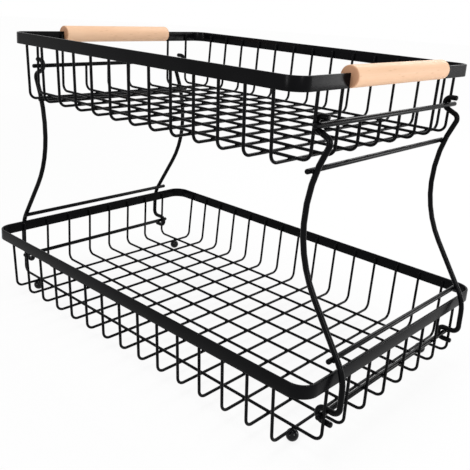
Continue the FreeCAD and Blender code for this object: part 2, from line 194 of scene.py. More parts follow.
class ShapeTrees:
    """Geometry trees that sweep, repeat and weld the wires, each built once."""

    def __init__(self) -> None:
        """Build the trees."""
        self.wire_row = self._wire_row()
        self.band = self._band()
        self.welds = self._welds()
        self.ball_row = self._ball_row()

    @staticmethod
    def _start(name: str, inputs: dict[str, str]) -> tuple[NodeBench, Sockets, Sockets]:
        """Make an empty tree that takes a finish beside its other inputs, and gives one shape."""
        return new_tree(name, "Geometry", {**inputs, "Finish": "Material"}, {"Shape": "Geometry"})

    @staticmethod
    def _close(bench: NodeBench, shape: NodeSocket, given: Sockets, out: Sockets) -> NodeTree:
        """End a tree with smooth faces, realised instances and the finish.

        Args:
            bench: The tree's bench.
            shape: Geometry to finish.
            given: What the tree's inputs give.
            out: What the tree's outputs take.

        Returns:
            The finished tree.
        """
        smooth = bench.add("GeometryNodeSetShadeSmooth", {"Geometry": shape, "Shade Smooth": True})[0]
        real = bench.add("GeometryNodeRealizeInstances", {"Geometry": smooth})[0]
        coated = bench.add("GeometryNodeSetMaterial", {"Geometry": real, "Material": given["Finish"]})[0]
        bench.feed(out["Shape"], coated)
        return bench.tree

    def _wire_row(self) -> NodeTree:
        """Lay round wires along one path, a pitch apart about the middle.

        Returns:
            The tree.
        """
        bench, given, out = self._start("WireRow", {
            "Path": "Geometry", "Count": "Int", "Pitch": "Vector", "Wire Radius": "Float", "Sides": "Int"})
        axis = bench.add("GeometryNodeMeshToCurve", {"Mesh": given["Path"]})[0]
        section = bench.add("GeometryNodeCurvePrimitiveCircle", {
            "Resolution": given["Sides"], "Radius": given["Wire Radius"]})[0]
        taper = bench.add("GeometryNodeInputRadius")[0]
        wire = bench.add("GeometryNodeCurveToMesh", {
            "Curve": axis, "Profile Curve": section, "Scale": taper, "Fill Caps": True})[0]
        back = bench.math("MULTIPLY", bench.math("SUBTRACT", given["Count"], 1.0), -0.5)
        places = bench.add("GeometryNodeMeshLine", {
            "Count": given["Count"], "Start Location": bench.scaled(given["Pitch"], back),
            "Offset": given["Pitch"]})[0]
        row = bench.add("GeometryNodeInstanceOnPoints", {"Points": places, "Instance": wire})[0]
        return self._close(bench, row, given, out)

    def _band(self) -> NodeTree:
        """Bend a flat band with eased edges along a closed path.

        Returns:
            The tree.
        """
        bench, given, out = self._start("RimBand", {
            "Path": "Geometry", "Band Height": "Float", "Band Thickness": "Float", "Edge Radius": "Float",
            "Edge Steps": "Int"})
        axis = bench.add("GeometryNodeMeshToCurve", {"Mesh": given["Path"]})[0]
        upright = bench.add("GeometryNodeSetCurveNormal", {"Curve": axis}, mode="Z_UP")[0]
        section = bench.add("GeometryNodeCurvePrimitiveQuadrilateral", {
            "Width": given["Band Thickness"], "Height": given["Band Height"]})[0]
        eased = bench.add("GeometryNodeFilletCurve", {
            "Curve": section, "Count": given["Edge Steps"], "Radius": given["Edge Radius"]}, mode="POLY")[0]
        band = bench.add("GeometryNodeCurveToMesh", {"Curve": upright, "Profile Curve": eased})[0]
        return self._close(bench, band, given, out)

    def _welds(self) -> NodeTree:
        """Put weld beads at points, each of its own size, a little uneven.

        Returns:
            The tree.
        """
        bench, given, out = self._start("WeldBeads", {
            "Places": "Geometry", "Segments": "Int", "Rings": "Int", "Least": "Float", "Most": "Float",
            "Seed": "Int"})
        bead = bench.add("GeometryNodeMeshUVSphere", {
            "Segments": given["Segments"], "Rings": given["Rings"], "Radius": 1.0})[0]
        size = bench.add("GeometryNodeInputNamedAttribute", {"Name": "bead_size"}, data_type="FLOAT_VECTOR")
        uneven = bench.add("FunctionNodeRandomValue", {
            "Min_001": given["Least"], "Max_001": given["Most"], "Seed": given["Seed"]}, data_type="FLOAT")
        beads = bench.add("GeometryNodeInstanceOnPoints", {
            "Points": given["Places"], "Instance": bead, "Scale": bench.scaled(size[0], uneven[1])})[0]
        return self._close(bench, beads, given, out)

    def _ball_row(self) -> NodeTree:
        """Put ball feet at points, each flattened where it stands.

        Returns:
            The tree.
        """
        bench, given, out = self._start("BallFeet", {
            "Places": "Geometry", "Ball Radius": "Float", "Standing Height": "Float", "Segments": "Int",
            "Rings": "Int"})
        ball = bench.add("GeometryNodeMeshUVSphere", {
            "Segments": given["Segments"], "Rings": given["Rings"], "Radius": given["Ball Radius"]})[0]
        parts = bench.add("ShaderNodeSeparateXYZ", {"Vector": bench.add("GeometryNodeInputPosition")[0]})
        sole = bench.math("MULTIPLY", given["Standing Height"], -1.0)
        lifted = bench.add("ShaderNodeCombineXYZ", {
            "X": parts[0], "Y": parts[1], "Z": bench.math("MAXIMUM", parts[2], sole)})[0]
        foot = bench.add("GeometryNodeSetPosition", {"Geometry": ball, "Position": lifted})[0]
        feet = bench.add("GeometryNodeInstanceOnPoints", {"Points": given["Places"], "Instance": foot})[0]
        return self._close(bench, feet, given, out)


class SurfaceGroups:
    """Shader groups that the finishes are mixed from, each built once."""

    def __init__(self) -> None:
        """Build the groups."""
        self.drift = self._drift()
        self.peel = self._peel()
        self.fibre = self._fibre()

    @staticmethod
    def _drift() -> NodeTree:
        """Let the tone of a surface drift slowly.

        Returns:
            The group.
        """
        # Range of the noise that the drift is drawn from
        drift_span = (0.32, 0.68)
        bench, given, out = new_tree("ToneDrift", "Shader", {
            "Vector": "Vector", "Patches Per Metre": "Float"}, {"Drift": "Float"})
        noise = bench.add("ShaderNodeTexNoise", {
            "Vector": given["Vector"], "Scale": given["Patches Per Metre"], "Detail": 3.0,
            "Roughness": 0.55})["Fac"]
        bench.feed(out["Drift"], bench.remap(noise, drift_span))
        return bench.tree

    @staticmethod
    def _peel() -> NodeTree:
        """Give a baked coat its fine lumps, and the roughness that goes with them.

        Returns:
            The group.
        """
        # Patches of haze for each lump across
        haze_share = 0.08
        bench, given, out = new_tree("CoatPeel", "Shader", {
            "Vector": "Vector", "Lumps Per Metre": "Float", "Smoothest": "Float", "Roughest": "Float",
        }, {"Height": "Float", "Roughness": "Float"})
        lumps = bench.add("ShaderNodeTexNoise", {
            "Vector": given["Vector"], "Scale": given["Lumps Per Metre"], "Detail": 2.0, "Roughness": 0.45})
        slow = bench.math("MULTIPLY", given["Lumps Per Metre"], haze_share)
        haze = bench.add("ShaderNodeTexNoise", {
            "Vector": given["Vector"], "Scale": slow, "Detail": 3.0, "Roughness": 0.6})["Fac"]
        bench.feed(out["Height"], lumps["Fac"])
        bench.feed(out["Roughness"], bench.remap(haze, NOISE_SPAN, (given["Smoothest"], given["Roughest"])))
        return bench.tree

    @staticmethod
    def _fibre() -> NodeTree:
        """Draw fibres, growth bands and short flecks of a wood that runs along Y.

        Returns:
            The group.
        """
        bench, given, out = new_tree("WoodFibre", "Shader", {
            "Vector": "Vector", "Fibres Per Metre": "Float", "Bands Per Metre": "Float",
            "Flecks Per Metre": "Float",
        }, {"Fibre": "Float", "Band": "Float", "Fleck": "Float"})
        # Shares of the cross scale that are left along the wood
        fibre_share = 0.025
        band_share = 0.10
        fleck_share = 0.16
        # Distances from a fleck's middle between which it fades
        fleck_fade = (0.10, 0.24)

        def drawn_out(share: float) -> NodeSocket:
            """Coordinates drawn out along the wood by one share."""
            return bench.add("ShaderNodeVectorMath", {
                "Vector": given["Vector"], "Vector_001": (1.0, share, 1.0)}, operation="MULTIPLY")[0]

        fibre = bench.add("ShaderNodeTexNoise", {
            "Vector": drawn_out(fibre_share), "Scale": given["Fibres Per Metre"], "Detail": 4.0,
            "Roughness": 0.6})
        bands = bench.add("ShaderNodeTexWave", {
            "Vector": drawn_out(band_share), "Scale": given["Bands Per Metre"], "Distortion": 5.0,
            "Detail": 2.0, "Detail Scale": 1.4}, wave_type="BANDS", bands_direction="X")
        flecks = bench.add("ShaderNodeTexVoronoi", {
            "Vector": drawn_out(fleck_share), "Scale": given["Flecks Per Metre"]}, feature="F1")
        bench.feed(out["Fibre"], fibre["Fac"])
        bench.feed(out["Band"], bands["Fac"])
        bench.feed(out["Fleck"], bench.remap(flecks["Distance"], fleck_fade, (1.0, 0.0)))
        return bench.tree


def new_material(name: str) -> tuple[Material, NodeBench, NodeSocket]:
    """Make an empty material.

    Args:
        name: The material's name.

    Returns:
        The material, the bench for its tree and the input that takes its shader.
    """
    material = bpy.data.materials.new(name)
    material.use_nodes = True
    material.node_tree.nodes.clear()
    surface = material.node_tree.nodes.new("ShaderNodeOutputMaterial").inputs["Surface"]
    return material, NodeBench(material.node_tree), surface


@dataclass(frozen=True)
class CoatFinish:
    """A baked coat on metal: satin on the wires and bands, glossy on the feet."""

    name: str
    colour: Colour
    bloom: Colour
    smoothest: float
    roughest: float
    lumps_per_metre: float
    patches_per_metre: float
    lump_depth: float
    lump_strength: float
    specular_level: float
    coat_weight: float
    coat_roughness: float = 0.12

    def material(self, groups: SurfaceGroups) -> Material:
        """Make the finish's material.

        Args:
            groups: The shared shader groups.

        Returns:
            The new material.
        """
        material, bench, surface = new_material(self.name)
        place = bench.add("ShaderNodeTexCoord")["Object"]
        drift = bench.group(groups.drift, Vector=place, Patches_Per_Metre=self.patches_per_metre)
        peel = bench.group(groups.peel, Vector=place, Lumps_Per_Metre=self.lumps_per_metre,
                           Smoothest=self.smoothest, Roughest=self.roughest)
        bump = bench.add("ShaderNodeBump", {
            "Strength": self.lump_strength, "Distance": self.lump_depth * MM, "Height": peel["Height"]})
        shader = bench.add("ShaderNodeBsdfPrincipled", {
            "Base Color": bench.mix(drift["Drift"], self.colour, self.bloom), "Normal": bump["Normal"],
            "Roughness": peel["Roughness"], "Specular IOR Level": self.specular_level,
            "Coat Weight": self.coat_weight, "Coat Roughness": self.coat_roughness})
        bench.feed(surface, shader["BSDF"])
        return material


SATIN_COAT = CoatFinish(
    "SatinBlackCoat", colour=(0.0016, 0.0016, 0.0020, 1.0), bloom=(0.0030, 0.0030, 0.0036, 1.0),
    smoothest=0.20, roughest=0.27, lumps_per_metre=2600.0, patches_per_metre=38.0, lump_depth=0.04,
    lump_strength=0.12, specular_level=0.055, coat_weight=0.0)
FOOT_ENAMEL = CoatFinish(
    "GlossBlackEnamel", colour=(0.0030, 0.0030, 0.0035, 1.0), bloom=(0.0050, 0.0050, 0.0058, 1.0),
    smoothest=0.14, roughest=0.20, lumps_per_metre=1500.0, patches_per_metre=90.0, lump_depth=0.03,
    lump_strength=0.15, specular_level=0.1, coat_weight=0.08)


@dataclass(frozen=True)
class WoodFinish:
    """Pale turned beech under a thin matt oil, with its grain along Y and darker cut ends."""

    name: str
    centre: Place
    half_length: float
    pale: Colour = (0.85, 0.58, 0.39, 1.0)
    deep: Colour = (0.76, 0.465, 0.29, 1.0)
    fleck: Colour = (0.50, 0.28, 0.15, 1.0)
    end_grain: Colour = (0.40, 0.19, 0.10, 1.0)
    fibres_per_metre: float = 900.0
    bands_per_metre: float = 26.0
    flecks_per_metre: float = 420.0
    patches_per_metre: float = 24.0
    fibre_depth: float = 0.05
    fibre_strength: float = 0.35
    fibre_share: float = 0.45
    band_share: float = 0.30
    drift_share: float = 0.2
    fleck_share: float = 0.35
    end_share: float = 0.8
    end_grain_start: float = 1.0
    end_grain_full: float = 0.1
    smoothest: float = 0.46
    roughest: float = 0.62
    specular_level: float = 0.22

    def tone(self, bench: NodeBench, drift: NodeSocket, grain: Sockets, along: NodeSocket) -> NodeSocket:
        """Mix the wood's colour.

        Args:
            bench: The material's bench.
            drift: The slow drift of tone.
            grain: Fibres, bands and flecks.
            along: Distance along the grip from its middle.

        Returns:
            The colour's socket.
        """
        fibre = bench.math("MULTIPLY", grain["Fibre"], self.fibre_share)
        band = bench.math("MULTIPLY", grain["Band"], self.band_share)
        slow = bench.math("MULTIPLY", drift, self.drift_share)
        wood = bench.mix(bench.math("ADD", bench.math("ADD", fibre, band), slow), self.pale, self.deep)
        flecked = bench.mix(bench.math("MULTIPLY", grain["Fleck"], self.fleck_share), wood, self.fleck)
        fade = [(self.half_length - depth) * MM for depth in (self.end_grain_start, self.end_grain_full)]
        return bench.mix(bench.remap(along, fade, (0.0, self.end_share)), flecked, self.end_grain)

    def material(self, groups: SurfaceGroups) -> Material:
        """Make the finish's material.

        Args:
            groups: The shared shader groups.

        Returns:
            The new material.
        """
        material, bench, surface = new_material(self.name)
        place = bench.add("ShaderNodeTexCoord")["Object"]
        centred = bench.add("ShaderNodeMapping", {
            "Vector": place, "Location": tuple(-part * MM for part in self.centre)})[0]
        grain = bench.group(groups.fibre, Vector=centred, Fibres_Per_Metre=self.fibres_per_metre,
                            Bands_Per_Metre=self.bands_per_metre, Flecks_Per_Metre=self.flecks_per_metre)
        drift = bench.group(groups.drift, Vector=centred, Patches_Per_Metre=self.patches_per_metre)
        along = bench.math("ABSOLUTE", bench.add("ShaderNodeSeparateXYZ", {"Vector": centred})["Y"])
        rough = bench.remap(grain["Fibre"], NOISE_SPAN, (self.smoothest, self.roughest))
        bump = bench.add("ShaderNodeBump", {
            "Strength": self.fibre_strength, "Distance": self.fibre_depth * MM, "Height": grain["Fibre"]})
        shader = bench.add("ShaderNodeBsdfPrincipled", {
            "Base Color": self.tone(bench, drift["Drift"], grain, along), "Roughness": rough,
            "Normal": bump["Normal"], "Specular IOR Level": self.specular_level})
        bench.feed(surface, shader["BSDF"])
        return material


def spread(plane: Plane, points: Iterable[Point], offset: Place = (0.0, 0.0, 0.0)) -> list[Vector]:
    """Stand flat points up in a plane.

    Args:
        plane: The upright plane.
        points: Distances across and up, in millimetres.
        offset: Where the plane's origin goes, in millimetres.

    Returns:
        The points in metres.
    """
    base = Vector(offset)
    if plane is Plane.ACROSS:
        return [(base + Vector((0.0, across, up))) * MM for across, up in points]
    return [(base + Vector((across, 0.0, up))) * MM for across, up in points]


def bend(centre: Point, radius: float, start: float, end: float) -> list[Point]:
    """Points of a round bend.

    Args:
        centre: The bend's centre.
        radius: Radius of the wire's axis.
        start: First angle.
        end: Last angle.

    Returns:
        Points from the first angle to the last.
    """
    steps = max(2, ceil(abs(end - start) / BEND_STEP_ANGLE))
    angles = [radians(start + (end - start) * step / steps) for step in range(steps + 1)]
    return [(centre[0] + radius * cos(angle), centre[1] + radius * sin(angle)) for angle in angles]


@dataclass(frozen=True)
class CutEnd:
    """How the coat rounds a wire's cut end: shares of the wire's radius at distances from the end."""

    shares: tuple[float, ...] = (0.62, 0.86, 0.97, 1.0)
    depth_shares: tuple[float, ...] = (0.0, 0.14, 0.36, 0.62)

    def eased(self, points: Sequence[Vector], wire: float) -> tuple[list[Vector], list[float]]:
        """Add the points of both rounded ends to a wire's axis.

        Args:
            points: The axis, in metres.
            wire: The wire's diameter, in millimetres.

        Returns:
            The axis with its ends, and the share of the radius at each point.
        """
        reach = wire / 2.0 * MM
        ends = []
        for end, inner in ((points[0], points[1]), (points[-1], points[-2])):
            along = (inner - end).normalized() * reach
            ends.append([end + along * depth for depth in self.depth_shares])
        shares = list(self.shares)
        axis = ends[0] + list(points[1:-1]) + ends[1][::-1]
        return axis, shares + [1.0] * (len(points) - 2) + shares[::-1]


def chain_mesh(name: str, chains: Sequence[tuple[Sequence[Vector], Sequence[float]]],
               closed: bool = False) -> Mesh:
    """Make a mesh of edges that a geometry tree reads as wire axes.

    Args:
        name: The mesh's name.
        chains: For each axis, its points in metres and the share of the radius at each.
        closed: Whether each axis comes back to its start.

    Returns:
        The mesh, with the shares in its radius attribute.
    """
    places: list[Vector] = []
    edges: list[tuple[int, int]] = []
    shares: list[float] = []
    for points, point_shares in chains:
        first = len(places)
        last = first + len(points) - 1
        edges += [(index, index + 1) for index in range(first, last)]
        if closed:
            edges.append((last, first))
        places += points
        shares += point_shares
    mesh = bpy.data.meshes.new(name)
    mesh.from_pydata(places, edges, [])
    mesh.attributes.new("radius", "FLOAT", "POINT").data.foreach_set("value", shares)
    return mesh


def link(piece: Object) -> Object:
    """Put an object in the scene."""
    bpy.context.scene.collection.objects.link(piece)
    return piece


def grown(name: str, seed: Mesh, tree: NodeTree, **inputs: Any) -> Object:
    """Run a geometry tree on a mesh and keep the result as a plain mesh.

    Args:
        name: The new object's name.
        seed: The mesh that the tree starts from.
        tree: The geometry tree.
        inputs: The tree's inputs by name, with _ for each space; lengths in metres.

    Returns:
        The object, with no modifier left.
    """
    holder = link(bpy.data.objects.new(f"{name}_seed", seed))
    modifier = holder.modifiers.new("Shape", "NODES")
    modifier.node_group = tree
    for item in tree.interface.items_tree:
        key = item.name.replace(" ", "_")
        if item.in_out == "INPUT" and key in inputs:
            modifier[item.identifier] = inputs[key]
    shape = holder.evaluated_get(bpy.context.evaluated_depsgraph_get())
    mesh = bpy.data.meshes.new_from_object(shape)
    mesh.name = name
    bpy.data.objects.remove(holder)
    return link(bpy.data.objects.new(name, mesh))


def settle(piece: Object, body: str, nodes: Sequence[str] = ()) -> None:
    """Hand a finished piece to the frame.

    Args:
        piece: The piece.
        body: CAD body that carries it.
        nodes: CAD nodes that it stands for.
    """
    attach(piece, body)
    if nodes:
        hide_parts(*nodes)
    faces = len(piece.data.polygons)
    log.info("%s rides on %s: %d faces, stands for %d nodes", piece.name, body, faces, len(nodes))


@dataclass(frozen=True)
class Stock:
    """Wire and band that the pieces are bent from, and the half sizes of the beads that weld them."""

    grid_wire: float = 2.5
    rod_wire: float = 4.0
    leg_wire: float = 4.5
    bar_wire: float = 4.0
    wire_sides: int = 20
    cut_end: CutEnd = CutEnd()
    grid_bend: float = 7.0
    wire_below_rim: float = 3.0
    band_height: float = 10.5
    band_thickness: float = 2.0
    band_edge: float = 0.5
    band_edge_steps: int = 4
    band_sharp_angle: float = 40.0
    weld_gap: float = 0.05
    crossing_bead: Place = (1.30, 1.30, 0.62)
    side_rim_bead: Place = (1.05, 0.55, 3.6)
    end_rim_bead: Place = (0.55, 1.05, 3.6)
    rod_bead: Place = (0.62, 1.35, 1.35)
    bar_bead: Place = (1.5, 2.0, 2.0)


STOCK = Stock()


@dataclass(frozen=True)
class Workshop:
    """The trees, groups and coats that every sub-assembly is made with."""

    trees: ShapeTrees
    groups: SurfaceGroups
    coat: Material
    enamel: Material

    def bend_wires(self, name: str, body: str, nodes: Sequence[str], axes: Sequence[Sequence[Vector]],
                   wire: float, count: int = 1, pitch: Place = (0.0, 0.0, 0.0)) -> None:
        """Make a row of round coated wires and hand it to the frame.

        Args:
            name: The piece's name.
            body: CAD body that carries it.
            nodes: CAD nodes that it stands for.
            axes: The wires' axes, in metres.
            wire: The wires' diameter.
            count: How many times the axes repeat, about the middle.
            pitch: Step from one to the next.
        """
        seed = chain_mesh(f"{name}_axes", [STOCK.cut_end.eased(axis, wire) for axis in axes])
        row = grown(name, seed, self.trees.wire_row, Count=count, Pitch=Vector(pitch) * MM,
                    Wire_Radius=wire / 2.0 * MM, Sides=STOCK.wire_sides, Finish=self.coat)
        settle(row, body, nodes)


@dataclass
class WeldBeads:
    """Beads of one body's welds, with their half sizes."""

    shop: Workshop
    name: str
    body: str
    segments: int = 10
    rings: int = 6
    least: float = 0.88
    most: float = 1.12
    seed: int = 7
    places: list[Place] = field(default_factory=list)
    sizes: list[Place] = field(default_factory=list)

    def add(self, place: Place, size: Place) -> None:
        """Add one bead by its middle and its half sizes."""
        self.places.append(place)
        self.sizes.append(size)

    def build(self) -> None:
        """Make the beads and hand them to the frame."""
        mesh = bpy.data.meshes.new(f"{self.name}_places")
        mesh.from_pydata([Vector(place) * MM for place in self.places], [], [])
        flat = [part * MM for size in self.sizes for part in size]
        mesh.attributes.new("bead_size", "FLOAT_VECTOR", "POINT").data.foreach_set("vector", flat)
        beads = grown(self.name, mesh, self.shop.trees.welds, Segments=self.segments, Rings=self.rings,
                      Least=self.least, Most=self.most, Seed=self.seed, Finish=self.shop.coat)
        settle(beads, self.body)


@dataclass(frozen=True)
class Basket:
    """One basket: a grid of U-shaped wires, a rim band and two hook rods."""

    shop: Workshop
    name: str
    length: float
    width: float
    corner: float
    wall: float
    side_inset: float
    end_inset: float
    floor: float
    cross_count: int
    rod_rise: float
    rod_side: int
    full_long_wires: int
    long_count: int = 8
    cross_pitch: float = 25.0
    long_pitch: float = 28.2
    rod_overhang: float = 4.0
    short_overlap: float = 1.0
    corner_steps: int = 14

    @property
    def body(self) -> str:
        """The CAD body that carries the basket."""
        return f"{self.name}_basket"

    @property
    def rim_foot(self) -> float:
        """Height of the rim's lower edge over the ground."""
        return self.floor + self.wall

    @property
    def half_row(self) -> float:
        """Distance from the middle to the outermost long wire."""
        return (self.long_count - 1) / 2.0 * self.long_pitch

    def at_rim(self, plane: Plane) -> float:
        """Distance from the middle to a wall wire's axis at the rim."""
        span = self.width if plane is Plane.ACROSS else self.length
        return span / 2.0 - STOCK.band_thickness - STOCK.weld_gap - STOCK.grid_wire / 2.0

    def inset(self, plane: Plane) -> float:
        """How far a wall comes in from the rim to the floor."""
        return self.side_inset if plane is Plane.ACROSS else self.end_inset

    def rise(self, plane: Plane) -> float:
        """Height of the wires of a plane over the cross wires."""
        return 0.0 if plane is Plane.ACROSS else STOCK.grid_wire + STOCK.weld_gap

    def lean(self, plane: Plane) -> float:
        """How far a wall leans out, in radians."""
        return atan(self.inset(plane) / (self.wall - self.rise(plane)))

    def wall_place(self, plane: Plane, height: float) -> float:
        """Distance from the middle to a wall wire's axis at a height over the cross wires."""
        share = (height - self.rise(plane)) / (self.wall - self.rise(plane))
        return self.at_rim(plane) - self.inset(plane) * (1.0 - share)

    @property
    def rod_place(self) -> Point:
        """Work out the right hook rod.

        Returns:
            X and Z of its axis.
        """
        reach = (STOCK.grid_wire / 2.0 + STOCK.weld_gap + STOCK.rod_wire / 2.0) / cos(self.lean(Plane.ALONG))
        rod_x = self.wall_place(Plane.ALONG, self.rod_rise) + self.rod_side * reach
        return rod_x, self.floor + self.rod_rise

    def wire_axis(self, plane: Plane, top: float | None = None) -> list[Point]:
        """Axis of a U-shaped wire.

        Args:
            plane: The wire's plane.
            top: Height of its ends over the cross wires, or None for a wire that reaches the rim.

        Returns:
            Points across and up from the middle of the floor.
        """
        rise = self.rise(plane)
        lean = degrees(self.lean(plane))
        bend_at = self.wall_place(plane, rise) - STOCK.grid_bend * tan(radians(90.0 - lean) / 2.0)
        if top is None:
            rim_place = self.at_rim(plane)
            tip = self.wall + STOCK.band_height - STOCK.wire_below_rim
            side = [(rim_place, tip), (rim_place, self.wall)]
        else:
            side = [(self.wall_place(plane, top), top)]
        side += bend((bend_at, rise + STOCK.grid_bend), STOCK.grid_bend, -lean, -90.0)
        return side + [(-across, up) for across, up in reversed(side)]

    def wire_row(self, plane: Plane, axis: list[Point], numbers: Sequence[int]) -> None:
        """Make evenly spaced wires of one kind.

        Args:
            plane: The wires' plane.
            axis: The wires' axis.
            numbers: The wires' numbers in their row, from 1, evenly spaced about the middle.
        """
        apart = numbers[1] - numbers[0]
        if plane is Plane.ACROSS:
            pitch = (self.cross_pitch * apart, 0.0, 0.0)
        else:
            pitch = (0.0, self.long_pitch * apart, 0.0)
        kind = f"{self.name}_{plane.value}_wire"
        name = f"{kind}s_{numbers[0]:02d}_{numbers[-1]:02d}"
        nodes = [f"{kind}_{number:02d}" for number in numbers]
        axes = [spread(plane, axis, (0.0, 0.0, self.floor))]
        self.shop.bend_wires(name, self.body, nodes, axes, STOCK.grid_wire, len(numbers), pitch)

    def build_wires(self) -> None:
        """Make the grid."""
        self.wire_row(Plane.ACROSS, self.wire_axis(Plane.ACROSS), range(1, self.cross_count + 1))
        axis = self.wire_axis(Plane.ALONG)
        if not self.full_long_wires:
            self.wire_row(Plane.ALONG, axis, range(1, self.long_count + 1))
            return
        for number in range(1, self.full_long_wires + 1):
            self.wire_row(Plane.ALONG, axis, (number, self.long_count + 1 - number))
        short = self.wire_axis(Plane.ALONG, self.rod_rise + self.short_overlap)
        middle = range(self.full_long_wires + 1, self.long_count - self.full_long_wires + 1)
        self.wire_row(Plane.ALONG, short, middle)

    def build_rim(self) -> None:
        """Make the rim band."""
        radius = self.corner - STOCK.band_thickness / 2.0
        reach_x = self.length / 2.0 - self.corner
        reach_y = self.width / 2.0 - self.corner
        height = self.rim_foot + STOCK.band_height / 2.0
        points: list[Vector] = []
        for quarter, (side_x, side_y) in enumerate(((1, 1), (-1, 1), (-1, -1), (1, -1))):
            for step in range(self.corner_steps + 1):
                angle = radians(90.0 * (quarter + step / self.corner_steps))
                x = side_x * reach_x + radius * cos(angle)
                y = side_y * reach_y + radius * sin(angle)
                points.append(Vector((x, y, height)) * MM)
        seed = chain_mesh(f"{self.name}_rim_axis", [(points, [1.0] * len(points))], closed=True)
        band = grown(f"{self.name}_rim_band", seed, self.shop.trees.band, Band_Height=STOCK.band_height * MM,
                     Band_Thickness=STOCK.band_thickness * MM, Edge_Radius=STOCK.band_edge * MM,
                     Edge_Steps=STOCK.band_edge_steps, Finish=self.shop.coat)
        band.data.set_sharp_from_angle(angle=radians(STOCK.band_sharp_angle))
        settle(band, self.body, [f"{self.name}_rim"])

    def build_rods(self) -> None:
        """Make the hook rods."""
        rod_x, rod_z = self.rod_place
        half = self.half_row + self.rod_overhang
        axes = [spread(Plane.ACROSS, [(-half, rod_z), (half, rod_z)])]
        nodes = [f"{self.name}_{end.word}_rod" for end in End]
        self.shop.bend_wires(f"{self.name}_hook_rods", self.body, nodes, axes, STOCK.rod_wire, len(nodes),
                             (2.0 * rod_x, 0.0, 0.0))

    @staticmethod
    def row_places(count: int, pitch: float) -> list[float]:
        """Places of a row about the middle."""
        return [(index - (count - 1) / 2.0) * pitch for index in range(count)]

    def build_welds(self) -> None:
        """Make the beads where wires cross, meet the rim and carry the rods."""
        beads = WeldBeads(self.shop, f"{self.name}_weld_beads", self.body)
        crossing_z = self.floor + self.rise(Plane.ALONG) / 2.0
        rim_z = self.rim_foot + STOCK.band_height / 2.0
        rod_z = self.floor + self.rod_rise
        inner = STOCK.grid_wire / 2.0 + STOCK.weld_gap / 2.0
        side_y = self.at_rim(Plane.ACROSS) + inner
        end_x = self.at_rim(Plane.ALONG) + inner
        rod_x = self.wall_place(Plane.ALONG, self.rod_rise) + self.rod_side * inner
        along = self.row_places(self.long_count, self.long_pitch)
        for x in self.row_places(self.cross_count, self.cross_pitch):
            for y in along:
                beads.add((x, y, crossing_z), STOCK.crossing_bead)
            for side in (1, -1):
                beads.add((x, side * side_y, rim_z), STOCK.side_rim_bead)
        rim_wires = self.full_long_wires or self.long_count
        for number, y in enumerate(along, start=1):
            for end in End:
                beads.add((end.value * rod_x, y, rod_z), STOCK.rod_bead)
                if min(number, self.long_count + 1 - number) <= rim_wires:
                    beads.add((end.value * end_x, y, rim_z), STOCK.end_rim_bead)
        beads.build()

    def build(self) -> None:
        """Make the whole basket."""
        self.build_wires()
        self.build_rim()
        self.build_rods()
        self.build_welds()


@dataclass(frozen=True)
class Grip:
    """A turned wooden grip, slotted from below over one end of the upper rim."""

    end: End
    basket: Basket
    diameter: float = 16.0
    wire_gap: float = 1.75
    round_over: float = 1.2
    slot_gap: float = 0.1
    round_steps: int = 5
    sides: int = 72
    sharp_angle: float = 35.0

    @property
    def length(self) -> float:
        """The grip's length, between the wires that reach the rim beside it."""
        pitches = self.basket.long_count + 1 - 2 * self.basket.full_long_wires
        return pitches * self.basket.long_pitch - STOCK.grid_wire - 2.0 * self.wire_gap

    @property
    def centre(self) -> Place:
        """The grip's middle."""
        reach = (self.basket.length - STOCK.band_thickness) / 2.0
        return self.end.value * reach, 0.0, self.basket.rim_foot + self.diameter / 2.0

    def section(self, radius: float) -> list[Point]:
        """Outline of the grip with its slot, from the slot's mouth round to it again.

        Args:
            radius: Radius of the round part.

        Returns:
            Points across and up from the grip's axis.
        """
        half_slot = STOCK.band_thickness / 2.0 + self.slot_gap
        slot_top = STOCK.band_height + STOCK.weld_gap - self.diameter / 2.0
        mouth = degrees(asin(half_slot / radius))
        outline = []
        for step in range(self.sides + 1):
            angle = radians(-90.0 + mouth + (360.0 - 2.0 * mouth) * step / self.sides)
            outline.append((radius * cos(angle), radius * sin(angle)))
        return outline + [(-half_slot, slot_top), (half_slot, slot_top)]

    def rings(self) -> list[Point]:
        """Work out the rings that the grip is turned from.

        Returns:
            Distance along the grip and radius of each ring, from one end to the other.
        """
        radius = self.diameter / 2.0
        half = self.length / 2.0
        rings = []
        for step in range(self.round_steps + 1):
            angle = radians(90.0 * step / self.round_steps)
            inset = self.round_over * (1.0 - sin(angle))
            rings.append((half - self.round_over * (1.0 - cos(angle)), radius - inset))
        return [(-along, ring_radius) for along, ring_radius in rings] + rings[::-1]

    def build(self) -> None:
        """Make the grip and hand it to the frame."""
        centre = Vector(self.centre)
        shape = bmesh.new()
        loops = []
        for along, radius in self.rings():
            places = [centre + Vector((across, along, up)) for across, up in self.section(radius)]
            loops.append([shape.verts.new(place * MM) for place in places])
        count = len(loops[0])
        for near, far in zip(loops, loops[1:]):
            for index in range(count):
                after = (index + 1) % count
                shape.faces.new((near[index], near[after], far[after], far[index]))
        shape.faces.new(loops[0])
        shape.faces.new(loops[-1][::-1])
        bmesh.ops.recalc_face_normals(shape, faces=shape.faces)
        word = self.end.word
        mesh = bpy.data.meshes.new(f"{word}_grip")
        shape.to_mesh(mesh)
        shape.free()
        mesh.shade_smooth()
        mesh.set_sharp_from_angle(angle=radians(self.sharp_angle))
        finish = WoodFinish(f"PaleBeech{word.title()}", self.centre, self.length / 2.0)
        mesh.materials.append(finish.material(self.basket.shop.groups))
        grip = link(bpy.data.objects.new(f"{word}_grip", mesh))
        settle(grip, self.basket.body, [f"{word}_handle"])


